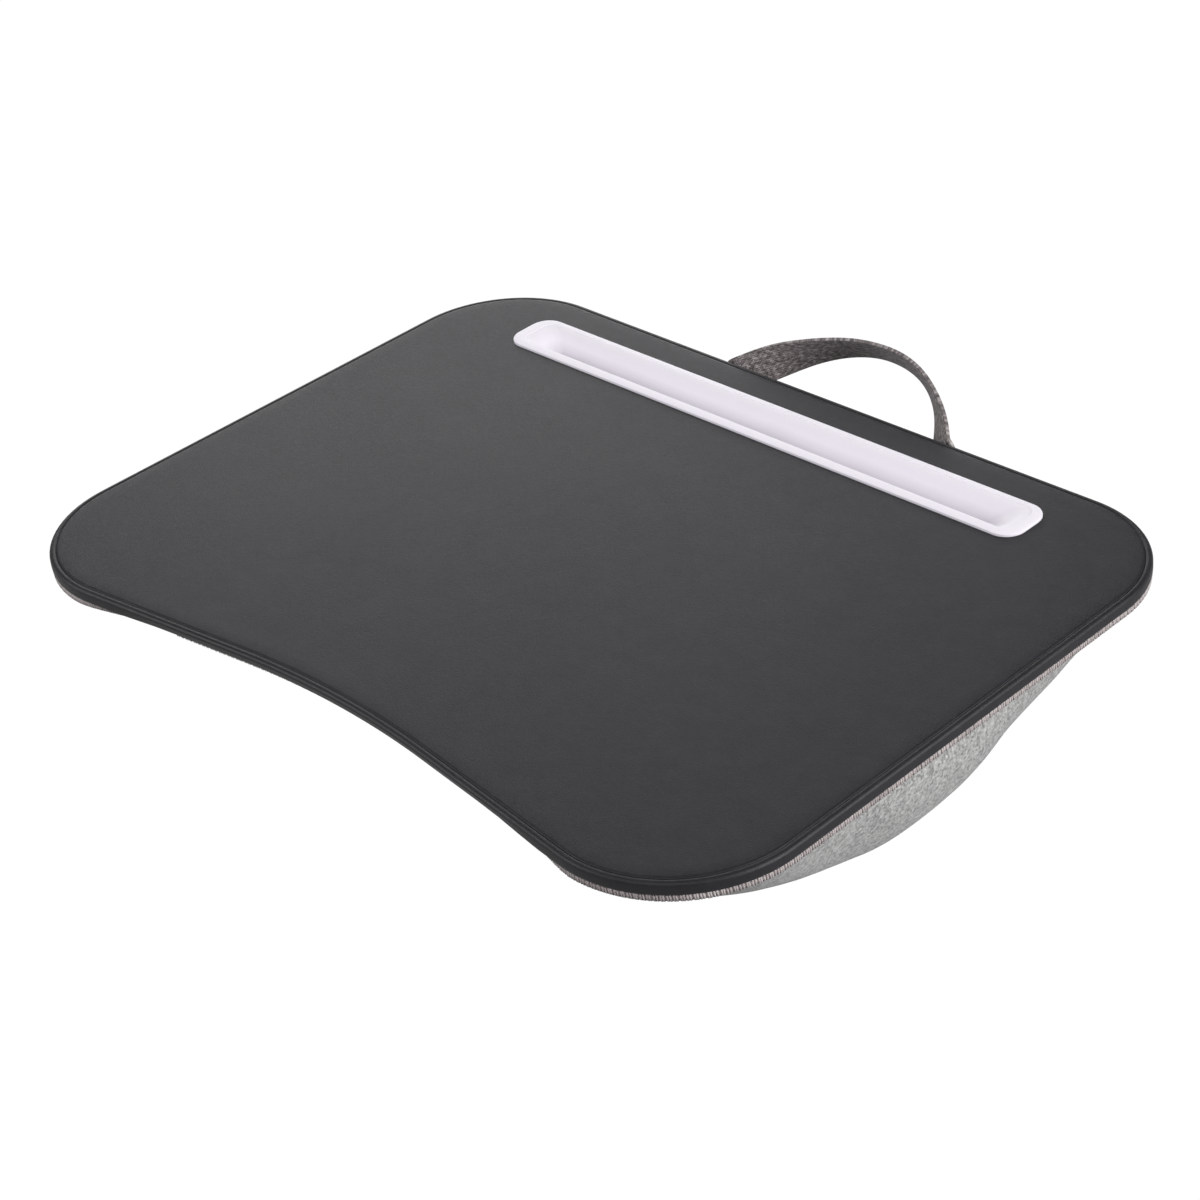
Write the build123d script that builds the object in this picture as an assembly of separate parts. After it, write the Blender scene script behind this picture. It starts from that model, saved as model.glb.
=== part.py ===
from build123d import *
import os
from math import sin, cos, atan2, degrees, radians, copysign, pi

# Lap tray with cushion: a flat board in leatherette with a phone slot, on two sewn bolsters,
# with a webbing loop at the back to carry it by. Lengths are in mm.
# The tray is drawn with its deck centred on the origin and the deck's top at height zero,
# front towards -Y. The last section moves every piece to the stored frame.

os.makedirs("parts", exist_ok=True)

# deck outline
deck_width = 430.0
deck_length = 321.5
back_corner_radius = 56.0
front_corner_radius = 59.4
front_flare = 7.2  # degrees that the front edge leans back towards its hollow middle
front_run = 92.0  # straight stretch between a front corner and the hollow

# layers from the top down
cover_thickness = 0.8
pad_thickness = 1.2
board_thickness = 4.0
panel_thickness = 3.2
fabric_thickness = 1.2

# edge strip
strip_thickness = 1.0
lip_width = 3.0
lip_round = 2.2
lip_inner_round = 0.6
crease_width = 1.2
return_width = 7.0

# hem of the cushion cover
hem_inset = 1.0
hem_thickness = 1.6

# phone slot
slot_length = 301.6
slot_width = 20.3
slot_depth = 8.2  # below the flange's top
slot_corner_radius = 5.0
slot_end_slope = 10.0
slot_front_slope = 1.0
slot_back_slope = 5.0
slot_foot_round = 2.0
slot_center_x = -7.0
slot_back_margin = 34.25  # from the slot's middle to the deck's back edge
slot_wall = 1.4
flange_thickness = 1.0
flange_end = 6.0
flange_front = 5.3
flange_back = 3.4
flange_corner_radius = 9.7
flange_round = 0.5
flange_clearance = 0.3  # between the flange and the cover that it is let into
slot_clearance = 0.3
tab_count = 4  # snap tabs along each long side
tab_length = 8.0
tab_height = 1.4
tab_grip = 1.2
tab_clearance = 0.2
tab_margin = 38.3  # from the slot's end to the middle of its nearest tab

# cushion
cushion_depth = 43.5  # below the panel
bolster_side_inset = 3.5
bolster_front_inset = 2.75
bolster_back_inset = 21.75
valley_width = 25.0  # between the two bolsters at the panel
bolster_corner_radius = 53.0
bolster_front_lean = 6.0  # degrees, follows the front edge
bolster_levels = 6
foot_side_draw = 14.5  # how far each side draws in down to the flat that rests on the lap
foot_length = 92.0
foot_corner_radius = 42.0
foot_forward = 12.0
width_fullness = 1.2
length_fullness = 1.15
forward_share = 0.5  # how soon the bolster leans forward on its way down
filling_clearance = 0.3

# carrying strap
strap_width = 17.5
strap_thickness = 1.6
strap_center_x = 8.6
strap_half_span = 61.4
strap_out = 39.4
strap_fullness = 2.16
strap_tilt = 21.5  # degrees above level
strap_twist = 107.0  # degrees, turned at the middle of the loop
strap_twist_hold = 3.5  # how late the twist lets go towards the ends
strap_twist_share = 0.9  # the loop lies flat from this share of its half span to its ends
strap_edge_gap = 1.5
strap_end_length = 19.0
strap_swing_clearance = 0.3
strap_groove_clearance = 0.3
strap_sections = 19

# staples in the strap's ends
staple_wire = 0.7
staple_crown = 9.0
staple_bite_share = 0.7  # of the board's thickness
staple_inset = 9.5
staple_pitch = 6.5
staple_rows = 2
staple_clearance = 0.05

overrun = 5.0

# places and levels that follow from the deck and its layers
slot_center_y = deck_length / 2 - slot_back_margin
tab_pitch = (slot_length - 2 * tab_margin) / (tab_count - 1)
bolster_width = (deck_width - valley_width) / 2 - bolster_side_inset
bolster_center_x = (valley_width + bolster_width) / 2
bolster_length = deck_length - bolster_front_inset - bolster_back_inset
bolster_forward = (bolster_back_inset - bolster_front_inset) / 2
foot_width = bolster_width - 2 * foot_side_draw
board_top = -(cover_thickness + pad_thickness)
board_foot = board_top - board_thickness
panel_foot = board_foot - panel_thickness
cushion_foot = panel_foot - cushion_depth
strap_level = board_foot - strap_thickness / 2
root_y = deck_length / 2 + strap_edge_gap
# the sewn ends stop short of the loop's own end corners as the loop swings
strap_end_gap = strap_thickness / 2 + strap_swing_clearance
# the loop leaves the seam at a slant, and its sewn ends lie on the same slant
strap_slant = 90 - degrees(atan2(strap_out * strap_fullness, strap_half_span))


def outline(inset=0):
    # the deck's plan shape, drawn in by the inset, with the same arc centres at every inset
    side = deck_width / 2 - inset
    back = deck_length / 2 - inset
    back_center = (deck_width / 2 - back_corner_radius, deck_length / 2 - back_corner_radius)
    front_center = (deck_width / 2 - front_corner_radius, front_corner_radius - deck_length / 2)
    lean_sin = sin(radians(front_flare))
    lean_cos = cos(radians(front_flare))
    outer_end_x = front_center[0] - front_corner_radius * lean_sin - front_run * lean_cos
    outer_end_y = front_center[1] - front_corner_radius * lean_cos + front_run * lean_sin
    hollow_radius = outer_end_x / lean_sin
    hollow_center = (0, outer_end_y - hollow_radius * lean_cos)
    front_radius = front_corner_radius - inset
    run_start = (front_center[0] - front_radius * lean_sin, front_center[1] - front_radius * lean_cos)
    run_end = (outer_end_x + inset * lean_sin, outer_end_y + inset * lean_cos)
    right = [
        CenterArc(back_center, back_corner_radius - inset, 0, 90),
        Line((side, back_center[1]), (side, front_center[1])),
        CenterArc(front_center, front_radius, 0, -(90 + front_flare)),
        Line(run_start, run_end),
    ]
    left = [edge.mirror(Plane.YZ) for edge in right]
    middle = [
        Line((-back_center[0], back), (back_center[0], back)),
        CenterArc(hollow_center, hollow_radius + inset, 90 - front_flare, 2 * front_flare),
    ]
    return make_face(right + middle + left)


def slab(shape, top, thickness):
    # a flat piece that hangs down from its top level
    return extrude(Pos(0, 0, top) * shape, amount=thickness, dir=(0, 0, -1))


def plate(inset, top, thickness):
    return slab(outline(inset), top, thickness)


def ring(outer_inset, inner_inset, top, thickness):
    inner = plate(inner_inset, top + overrun, thickness + 2 * overrun)
    return plate(outer_inset, top, thickness) - inner


def slot_loft(grow):
    # the slot's hollow, or with a growth the outside of its walls, down to the same growth deeper
    length = slot_length + 2 * grow
    width = slot_width + 2 * grow
    foot_shift = (slot_front_slope - slot_back_slope) / 2
    top_shape = RectangleRounded(length, width, slot_corner_radius + grow)
    low_shape = RectangleRounded(
        length - 2 * slot_end_slope,
        width - slot_front_slope - slot_back_slope,
        slot_corner_radius + grow,
    )
    low_place = Pos(0, foot_shift, -slot_depth - grow)
    return Pos(slot_center_x, slot_center_y, flange_thickness) * loft([top_shape, low_place * low_shape])


def flange_outline(grow):
    # the flange's plan shape, with its own small margins in front of and behind the slot
    length = slot_length + 2 * (flange_end + grow)
    width = slot_width + flange_front + flange_back + 2 * grow
    center_y = slot_center_y + (flange_back - flange_front) / 2
    return Pos(slot_center_x, center_y) * RectangleRounded(length, width, flange_corner_radius + grow)


def slot_opening(top, thickness, clearance):
    # the straight hole for the trough through one layer
    reach = slot_wall + clearance
    shape = RectangleRounded(slot_length + 2 * reach, slot_width + 2 * reach, slot_corner_radius + reach)
    return slab(Pos(slot_center_x, slot_center_y) * shape, top + overrun, thickness + 2 * overrun)


def tab_places():
    return [slot_center_x + tab_pitch * (place - (tab_count - 1) / 2) for place in range(tab_count)]


def strap_root(side):
    # the frame of one sewn end: its origin is on the seam, its Y axis runs out along the band
    return Pos(strap_center_x + side * strap_half_span, root_y) * Rot(0, 0, side * strap_slant)


def strap_grooves(depth):
    # the grooves under the board that the sewn ends lie in
    width = strap_width + 2 * strap_groove_clearance
    back = strap_end_length + strap_groove_clearance
    grooves = []
    for side in (-1, 1):
        shape = Pos(0, (strap_width - back) / 2) * Rectangle(width, back + strap_width)
        grooves.append(slab(strap_root(side) * shape, board_foot, depth))
    return grooves


def staple_places():
    places = []
    for side in (-1, 1):
        for row in range(staple_rows):
            places.append(strap_root(side) * Pos(0, -staple_inset - staple_pitch * row, board_foot - strap_thickness))
    return places


def staple_legs(clearance):
    # the legs of flat wire, or with a clearance the holes that they stand in
    wire = staple_wire + 2 * clearance
    height = strap_thickness + board_thickness * staple_bite_share
    legs = []
    for place in staple_places():
        for side in (-1, 1):
            leg = Box(wire, wire, height, align=(Align.CENTER, Align.CENTER, Align.MIN))
            legs.append(place * Pos(side * (staple_crown - staple_wire) / 2) * leg)
    return legs


# the board and what lies on it
def make_deck_board():
    board = plate(strip_thickness, board_top, board_thickness)
    rebate = ring(strip_thickness - overrun, return_width, board_foot + strip_thickness, overrun)
    board = board - rebate - slot_opening(board_top, board_thickness, slot_clearance)
    for hole in staple_legs(staple_clearance):
        board = board - hole
    return board


def make_top_pad():
    pad = plate(lip_width, -cover_thickness, pad_thickness)
    return pad - slot_opening(-cover_thickness, pad_thickness, slot_clearance)


def make_deck_cover():
    cover = plate(lip_width + crease_width, 0, cover_thickness)
    cover = cover - slab(flange_outline(flange_clearance), overrun, cover_thickness + 2 * overrun)
    rim = cover.faces().sort_by(Axis.Z)[-1].outer_wire().edges()
    return fillet(rim, cover_thickness / 2)


def make_edge_binding():
    lip = ring(0, lip_width, 0, -board_top)
    wall = ring(0, strip_thickness, board_top, board_thickness)
    turned_in = ring(0, return_width, board_foot + strip_thickness, strip_thickness)
    strip = lip + wall + turned_in
    top_face = strip.faces().sort_by(Axis.Z)[-1]
    strip = fillet(top_face.outer_wire().edges(), lip_round)
    top_face = strip.faces().sort_by(Axis.Z)[-1]
    strip = fillet(top_face.inner_wires()[0].edges(), lip_inner_round)
    for hole in staple_legs(staple_clearance):
        strip = strip - hole
    return strip


# the white trough for a phone or pens
def make_slot_insert():
    flange = slab(flange_outline(0), flange_thickness, flange_thickness + cover_thickness)
    rim = flange.faces().sort_by(Axis.Z)[-1].edges()
    flange = fillet(rim, flange_round)
    hollow = slot_loft(0)
    foot = hollow.faces().sort_by(Axis.Z)[0].edges()
    hollow = fillet(foot, slot_foot_round)
    trough = flange + slot_loft(slot_wall)
    for x in tab_places():
        for side in (-1, 1):
            trough = trough + snap_tab(x, side)
    return trough - hollow


def snap_tab(x, side):
    # a barb that catches the board's underside beside the slot's hole
    edge = side * (slot_width / 2 + slot_wall + slot_clearance + tab_grip)
    slope = slot_back_slope if side > 0 else slot_front_slope
    inner = side * (slot_width / 2 - slope + slot_wall / 2)
    top = board_foot - tab_clearance
    bar = Box(tab_length, abs(edge - inner), tab_height, align=(Align.CENTER, Align.CENTER, Align.MAX))
    bar = Pos(x, slot_center_y + (edge + inner) / 2, top) * bar
    low_edge = bar.edges().filter_by(Axis.X).group_by(Axis.Z)[0].sort_by(Axis.Y)[-1 if side > 0 else 0]
    return chamfer(low_edge, tab_height / 2)


# the panel that carries the cushion
def make_base_panel():
    panel = plate(hem_inset + hem_thickness, board_foot, panel_thickness)
    panel = panel - slot_opening(board_foot, panel_thickness, slot_clearance + tab_grip + tab_clearance)
    for groove in strap_grooves(strap_thickness + staple_wire + strap_groove_clearance):
        panel = panel - groove
    return panel


def make_cushion_hem():
    hem = ring(hem_inset, hem_inset + hem_thickness, board_foot, panel_thickness)
    for groove in strap_grooves(strap_thickness + strap_groove_clearance):
        hem = hem - groove
    return hem


# the cushion
def bolster_section(side, share, inset):
    # one level section of a bolster: side is -1 or 1, share runs from 0 at the panel to 1 at the foot
    width_left = (1 - share**width_fullness) ** (1 / width_fullness)
    length_left = (1 - share**length_fullness) ** (1 / length_fullness)
    width = foot_width + (bolster_width - foot_width) * width_left - 2 * inset
    length = foot_length + (bolster_length - foot_length) * length_left - 2 * inset
    corner = bolster_corner_radius + (foot_corner_radius - bolster_corner_radius) * share - inset
    forward = bolster_forward + foot_forward * share**forward_share
    lean = bolster_front_lean * length_left
    rise = width * sin(radians(lean)) / cos(radians(lean))
    # the front edge draws back towards the tray's middle, as the deck's front edge does
    points = [
        (side * width / 2, length / 2),
        (-side * width / 2, length / 2),
        (-side * width / 2, rise - length / 2),
        (side * width / 2, -length / 2),
    ]
    face = make_face(Polyline(*points, close=True))
    face = fillet(face.vertices(), corner)
    level = panel_foot - (cushion_depth - inset) * share
    return Pos(side * bolster_center_x, -forward, level) * face


def bolster(side, inset):
    # full curves outside; inside, straight runs between the levels, which stay within those curves
    # the levels lie closer together towards the foot, where the sides turn in
    shares = [sin(pi / 2 * level / (bolster_levels - 1)) for level in range(bolster_levels)]
    return loft([bolster_section(side, share, inset) for share in shares], ruled=inset > 0)


def make_cushion_cover():
    cover = plate(hem_inset + hem_thickness, panel_foot, fabric_thickness)
    for side in (-1, 1):
        cover = cover + bolster(side, 0)
    for side in (-1, 1):
        cover = cover - bolster(side, fabric_thickness)
    return cover


def make_filling(side):
    return bolster(side, fabric_thickness + filling_clearance)


# the carrying strap
def strap_axes(share):
    # centre of the band and the ways along, across and through it; the share runs from -1 at the
    # left end of the loop to 1 at the right end
    tilt = radians(strap_tilt)
    outward = Vector(0, cos(tilt), sin(tilt))
    upward = Vector(0, -sin(tilt), cos(tilt))
    out = strap_out * (1 - abs(share) ** strap_fullness)
    center = Vector(strap_center_x + strap_half_span * share, root_y, strap_level) + outward * out
    fall = copysign(strap_out * strap_fullness * abs(share) ** (strap_fullness - 1), share)
    along = (Vector(strap_half_span, 0, 0) - outward * fall).normalized()
    inward = along.cross(upward)
    twist = radians(strap_twist * max(1 - (abs(share) / strap_twist_share) ** strap_twist_hold, 0))
    across = inward * cos(twist) - upward * sin(twist)
    return center, along, across


def make_handle_strap():
    # near its two ends each section turns within the band until it lies along the seam
    sections = []
    for step in range(strap_sections):
        share = sin(pi * (step / (strap_sections - 1) - 1 / 2))
        center, along, across = strap_axes(share)
        turn = max(abs(share) - strap_twist_share, 0) / (1 - strap_twist_share)
        turn = radians(copysign(strap_slant * turn, share))
        line = across * cos(turn) - along * sin(turn)
        plane = Plane(origin=center, x_dir=line, z_dir=line.cross(across.cross(along)))
        sections.append(plane * Rectangle(strap_width / cos(turn), strap_thickness))
    return loft(sections, ruled=True)


def make_strap_ends():
    ends = []
    for side in (-1, 1):
        shape = Pos(0, (strap_width - strap_end_length) / 2) * Rectangle(strap_width, strap_end_length + strap_width)
        block = slab(strap_root(side) * shape, board_foot, strap_thickness)
        beyond = Box(2 * strap_width, 2 * strap_width, 2 * strap_width, align=(Align.CENTER, Align.MIN, Align.CENTER))
        place = Pos(strap_center_x + side * strap_half_span, root_y - strap_end_gap, board_foot)
        block = block - place * beyond
        for hole in staple_legs(staple_clearance):
            block = block - hole
        ends.append(block)
    return Compound(children=ends)


def make_strap_staples():
    staples = []
    legs = staple_legs(0)
    for index, place in enumerate(staple_places()):
        crown = Box(staple_crown, staple_wire, staple_wire, align=(Align.CENTER, Align.CENTER, Align.MAX))
        staples.append(place * crown + legs[2 * index] + legs[2 * index + 1])
    return Compound(children=staples)


# the stored frame: the origin is under the middle of the whole tray, on the surface that it rests on
def strap_reach():
    center, along, across = strap_axes(0)
    through = along.cross(across)
    half_band = (strap_width * abs(across.Y) + strap_thickness * abs(through.Y)) / 2
    return center.Y + half_band


frame_place = Pos(0, (deck_length / 2 - strap_reach()) / 2, -cushion_foot)

pieces = {
    "deck_board": make_deck_board(),
    "top_pad": make_top_pad(),
    "deck_cover": make_deck_cover(),
    "edge_binding": make_edge_binding(),
    "slot_insert": make_slot_insert(),
    "base_panel": make_base_panel(),
    "cushion_hem": make_cushion_hem(),
    "cushion_cover": make_cushion_cover(),
    "filling_left": make_filling(-1),
    "filling_right": make_filling(1),
    "handle_strap": make_handle_strap(),
    "strap_ends": make_strap_ends(),
    "strap_staples": make_strap_staples(),
}

for name, piece in pieces.items():
    placed = frame_place * piece
    export_step(placed, f"parts/{name}.step")
    box = placed.bounding_box()
    print(name, "solids", len(placed.solids()), "volume", round(placed.volume), "low", box.min, "high", box.max)
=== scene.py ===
import bpy
import bmesh
from math import asin, sin, cos, exp, radians, pi, copysign
from mathutils import Matrix, Vector


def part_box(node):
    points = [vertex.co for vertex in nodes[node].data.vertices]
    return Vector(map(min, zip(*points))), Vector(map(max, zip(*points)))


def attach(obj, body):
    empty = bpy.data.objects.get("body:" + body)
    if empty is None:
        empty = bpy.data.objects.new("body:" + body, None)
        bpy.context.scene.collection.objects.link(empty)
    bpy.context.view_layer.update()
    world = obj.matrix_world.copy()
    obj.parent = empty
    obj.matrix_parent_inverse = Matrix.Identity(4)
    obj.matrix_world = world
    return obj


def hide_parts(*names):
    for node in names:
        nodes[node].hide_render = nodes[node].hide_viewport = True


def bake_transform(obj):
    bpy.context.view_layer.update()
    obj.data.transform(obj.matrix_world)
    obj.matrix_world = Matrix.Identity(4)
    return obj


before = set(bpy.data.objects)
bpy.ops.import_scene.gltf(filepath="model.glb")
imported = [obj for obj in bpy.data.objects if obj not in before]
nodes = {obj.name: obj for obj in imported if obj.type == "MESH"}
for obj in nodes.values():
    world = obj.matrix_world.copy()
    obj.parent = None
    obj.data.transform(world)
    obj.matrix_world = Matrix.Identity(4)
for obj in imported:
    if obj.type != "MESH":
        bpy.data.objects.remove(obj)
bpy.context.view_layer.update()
print("frame: loaded", len(nodes), "nodes")

edgeLow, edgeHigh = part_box("edge_binding")
deckMiddle = Vector((0, (edgeLow.y + edgeHigh.y) / 2, edgeHigh.z))  # centre of the deck's top
scene = bpy.context.scene


# helpers for materials
class Wire:  # one socket that can be used in sums
    def __init__(self, finish, socket):
        self.finish = finish
        self.socket = socket

    def sum(self, operation, left, right):
        return self.finish.add("ShaderNodeMath", {"operation": operation}, {0: left, 1: right})

    def __add__(self, other):
        return self.sum("ADD", self, other)

    def __radd__(self, other):
        return self.sum("ADD", other, self)

    def __sub__(self, other):
        return self.sum("SUBTRACT", self, other)

    def __rsub__(self, other):
        return self.sum("SUBTRACT", other, self)

    def __mul__(self, other):
        return self.sum("MULTIPLY", self, other)

    def __rmul__(self, other):
        return self.sum("MULTIPLY", other, self)


class Finish:  # one material and its nodes
    def __init__(self, name):
        self.material = bpy.data.materials.new(name)
        self.material.use_nodes = True
        self.tree = self.material.node_tree
        self.tree.nodes.clear()
        self.output = self.tree.nodes.new("ShaderNodeOutputMaterial")

    def add(self, kind, settings=None, values=None, out=0):
        node = self.tree.nodes.new(kind)
        for key, value in (settings or {}).items():
            if key == "stops":
                self.setStops(node.color_ramp, value)
            else:
                setattr(node, key, value)
        for key, value in (values or {}).items():
            if isinstance(value, Wire):
                self.tree.links.new(value.socket, node.inputs[key])
            else:
                node.inputs[key].default_value = value
        return Wire(self, node.outputs[out])

    def setStops(self, ramp, stops):  # a stop is a place, a screen level and a tint
        while len(ramp.elements) < len(stops):
            ramp.elements.new(1)
        for element, (place, level, tint) in zip(ramp.elements, stops):
            element.position = place
            element.color = (*grey(level, tint), 1)

    def place(self, scale=(1, 1, 1), source="Object"):
        coords = self.add("ShaderNodeTexCoord", out=source)
        return self.add("ShaderNodeMapping", {}, {"Vector": coords, "Scale": scale})

    def noise(self, place, scale, detail, roughness):
        values = {"Vector": place, "Scale": scale, "Detail": detail, "Roughness": roughness}
        return self.add("ShaderNodeTexNoise", {}, values)

    def cells(self, place, scale, randomness=1.0, feature="F1", out=0):
        values = {"Vector": place, "Scale": scale, "Randomness": randomness}
        return self.add("ShaderNodeTexVoronoi", {"feature": feature}, values, out)

    def ramp(self, value, stops):
        return self.add("ShaderNodeValToRGB", {"stops": stops}, {0: value})

    def step(self, value, low, high, fromLow=0.0, fromHigh=1.0):
        values = {0: value, 1: fromLow, 2: fromHigh, 3: low, 4: high}
        return self.add("ShaderNodeMapRange", {}, values)

    def bump(self, height, distance, strength):
        values = {"Height": height, "Distance": distance, "Strength": strength}
        return self.add("ShaderNodeBump", {}, values)

    def surface(self, values):
        shader = self.add("ShaderNodeBsdfPrincipled", {}, values)
        self.tree.links.new(shader.socket, self.output.inputs["Surface"])
        return self.material


def grey(level, tint):  # a screen level from 0 to 255, with its tint, as a scene colour
    colour = []
    for change in tint:
        share = (level + change) / 255
        colour.append(share / 12.92 if share < 0.04 else ((share + 0.055) / 1.055) ** 2.4)
    return colour


# materials: a scale is the number of cells in a metre, and heights are in metres
leatherLook = {
    "grainScale": 1100, "creaseScale": 420, "cloudScale": 9, "mottleScale": 85, "dustScale": 1300,
    "contrast": 7, "grainHeight": 0.00005, "grainStrength": 0.8,
    "deck": {"level": 31, "tint": (0, -1, 4), "shine": 0.33, "roughness": 0.45},
    "edge": {"level": 30, "tint": (0, -1, 3), "shine": 0.36, "roughness": 0.44},
}


def makeLeather(part):
    look = leatherLook[part]
    level, tint, roughness = look["level"], look["tint"], look["roughness"]
    contrast = leatherLook["contrast"]
    finish = Finish(part + "Leather")
    place = finish.place()
    grain = finish.cells(place, leatherLook["grainScale"], feature="DISTANCE_TO_EDGE")
    pebble = finish.step(grain, 0.0, 1.0, 0.0, 0.16)
    soft = finish.noise(place, leatherLook["creaseScale"], 4, 0.6)
    cloud = finish.noise(place, leatherLook["cloudScale"], 3, 0.6)
    mottle = finish.noise(place, leatherLook["mottleScale"], 4, 0.65)
    dust = finish.noise(place, leatherLook["dustScale"], 2, 0.6)
    shade = cloud * 0.25 + mottle * 0.3 + soft * 0.2 + dust * 0.25
    colour = finish.ramp(shade, [
        (0.38, level - contrast, tint), (0.50, level, tint), (0.62, level + contrast, tint),
    ])
    height = pebble * 0.6 + soft * 0.9
    return finish.surface({
        "Base Color": colour,
        "Roughness": finish.step(soft * 0.6 + cloud * 0.4, roughness - 0.05, roughness + 0.07, 0.3, 0.7),
        "Normal": finish.bump(height, leatherLook["grainHeight"], leatherLook["grainStrength"]),
        "Specular IOR Level": look["shine"],
    })


insertLook = {
    "cloudScale": 30, "textureScale": 3200, "textureHeight": 0.00001, "textureStrength": 0.5,
    "roughness": (0.36, 0.46), "paintedShadeDepth": 0.008, "paintedShadeShare": 0.85, "cloudShare": 0.15,
    "stops": (  # from the rim down: painted shade, darker towards the trough's foot where less light reaches
        (0.1, 250, (0, -5, 4)), (0.45, 248, (0, -5, 4)), (0.75, 232, (0, -5, 4)), (1.0, 206, (0, -5, 4)),
    ),
}


def makeInsertPlastic():
    finish = Finish("insertPlastic")
    place = finish.place()
    cloud = finish.noise(place, insertLook["cloudScale"], 3, 0.5)
    texture = finish.noise(place, insertLook["textureScale"], 2, 0.5)
    height = finish.add("ShaderNodeSeparateXYZ", {}, {"Vector": place}, "Z")
    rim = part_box("slot_insert")[1].z
    # painted shade: the base colour darkens with the depth under the rim, standing in for the shade at the
    # trough's foot
    sunk = finish.step(height, 0.0, insertLook["paintedShadeShare"], rim, rim - insertLook["paintedShadeDepth"])
    return finish.surface({
        "Base Color": finish.ramp(sunk + cloud * insertLook["cloudShare"], insertLook["stops"]),
        "Roughness": finish.step(cloud, *insertLook["roughness"]),
        "Normal": finish.bump(texture, insertLook["textureHeight"], insertLook["textureStrength"]),
    })


heatherLook = {
    "fleckScale": 860, "patchScale": 260, "driftScale": 26, "yarnScale": 1300, "grainScale": 950,
    "knitHeight": 0.00014, "knitStrength": 0.3, "roughness": 0.92, "shine": 0.15,
    "sheen": 0.25, "sheenRoughness": 0.6,
    "stops": ((0.32, 124, (1, 1, 0)), (0.44, 157, (1, 1, 0)), (0.55, 178, (1, 1, 0)), (0.68, 200, (1, 1, 0))),
}


def makeHeather():
    finish = Finish("heatherKnit")
    place = finish.place()
    fleck = finish.noise(place, heatherLook["fleckScale"], 2, 0.5)
    patch = finish.noise(place, heatherLook["patchScale"], 3, 0.6)
    drift = finish.noise(place, heatherLook["driftScale"], 2, 0.5)
    yarn = finish.cells(place, heatherLook["yarnScale"], randomness=0.9)
    grain = finish.cells(place, heatherLook["grainScale"], out="Color")
    tone = grain * 0.36 + fleck * 0.42 + patch * 0.14 + drift * 0.08
    height = 1 - yarn + fleck * 0.4
    return finish.surface({
        "Base Color": finish.ramp(tone, heatherLook["stops"]), "Roughness": heatherLook["roughness"],
        "Normal": finish.bump(height, heatherLook["knitHeight"], heatherLook["knitStrength"]),
        "Sheen Weight": heatherLook["sheen"], "Sheen Roughness": heatherLook["sheenRoughness"],
        "Specular IOR Level": heatherLook["shine"],
    })


threadLook = {
    "twistScale": 2600, "twistStretch": (1, 1, 0.3), "driftScale": 60, "twistHeight": 0.0001,
    "twistStrength": 0.6, "roughness": 0.8, "sheen": 0.2, "shine": 0.2,
    "hemThread": {"dark": 144, "light": 214}, "hemCloth": {"dark": 146, "light": 194},
}


def makeThread(name):
    dark, light = threadLook[name]["dark"], threadLook[name]["light"]
    finish = Finish(name)
    twist = finish.noise(finish.place(threadLook["twistStretch"]), threadLook["twistScale"], 2, 0.5)
    drift = finish.noise(finish.place(), threadLook["driftScale"], 2, 0.5)
    colour = finish.ramp(twist * 0.6 + drift * 0.4, [
        (0.3, dark, (6, -4, -3)), (0.5, (dark + light) / 2, (7, -2, -2)), (0.7, light, (6, -1, -2)),
    ])
    return finish.surface({
        "Base Color": colour, "Roughness": threadLook["roughness"],
        "Normal": finish.bump(twist, threadLook["twistHeight"], threadLook["twistStrength"]),
        "Sheen Weight": threadLook["sheen"], "Specular IOR Level": threadLook["shine"],
    })


webbingLook = {
    "ribScale": 340, "pickScale": 420, "pickDistortion": 0.6, "pickDetailScale": 900,
    "fleckScale": 820, "fleckStretch": (0.5, 1, 1), "driftScale": 300,
    "weaveHeight": 0.00018, "weaveStrength": 0.45, "roughness": 0.85, "sheen": 0.2, "shine": 0.2,
    "stops": (
        (0.34, 50, (2, -1, -1)), (0.45, 96, (4, -2, -2)), (0.54, 126, (6, -3, -2)), (0.64, 182, (5, -1, -2)),
    ),
}


def makeWebbing():  # the band's own UV map runs in metres along and across it
    finish = Finish("strapWebbing")
    flat = finish.place(source="UV")
    across = finish.place((0, 1, 0), source="UV")
    stretched = finish.place(webbingLook["fleckStretch"], source="UV")
    ribs = finish.add(
        "ShaderNodeTexWave", {"wave_type": "BANDS", "bands_direction": "Y"},
        {"Vector": across, "Scale": webbingLook["ribScale"], "Distortion": 0.0},
    )
    picks = finish.add("ShaderNodeTexWave", {"wave_type": "BANDS", "bands_direction": "X"}, {
        "Vector": flat, "Scale": webbingLook["pickScale"], "Distortion": webbingLook["pickDistortion"],
        "Detail": 1.0, "Detail Scale": webbingLook["pickDetailScale"],
    })
    fleck = finish.noise(stretched, webbingLook["fleckScale"], 3, 0.6)
    drift = finish.noise(flat, webbingLook["driftScale"], 3, 0.6)
    tone = fleck * 0.7 + drift * 0.14 + picks * 0.08 + ribs * 0.08
    height = ribs * 0.6 + picks * 0.4
    return finish.surface({
        "Base Color": finish.ramp(tone, webbingLook["stops"]), "Roughness": webbingLook["roughness"],
        "Normal": finish.bump(height, webbingLook["weaveHeight"], webbingLook["weaveStrength"]),
        "Sheen Weight": webbingLook["sheen"], "Specular IOR Level": webbingLook["shine"],
    })


fibreLook = {
    "chipScale": 900, "cloudScale": 60, "chipHeight": 0.0001, "chipStrength": 0.6, "roughness": 0.85,
    "stops": ((0.3, 122, (14, -4, -30)), (0.5, 150, (14, -4, -34)), (0.7, 172, (14, -2, -36))),
}


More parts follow.
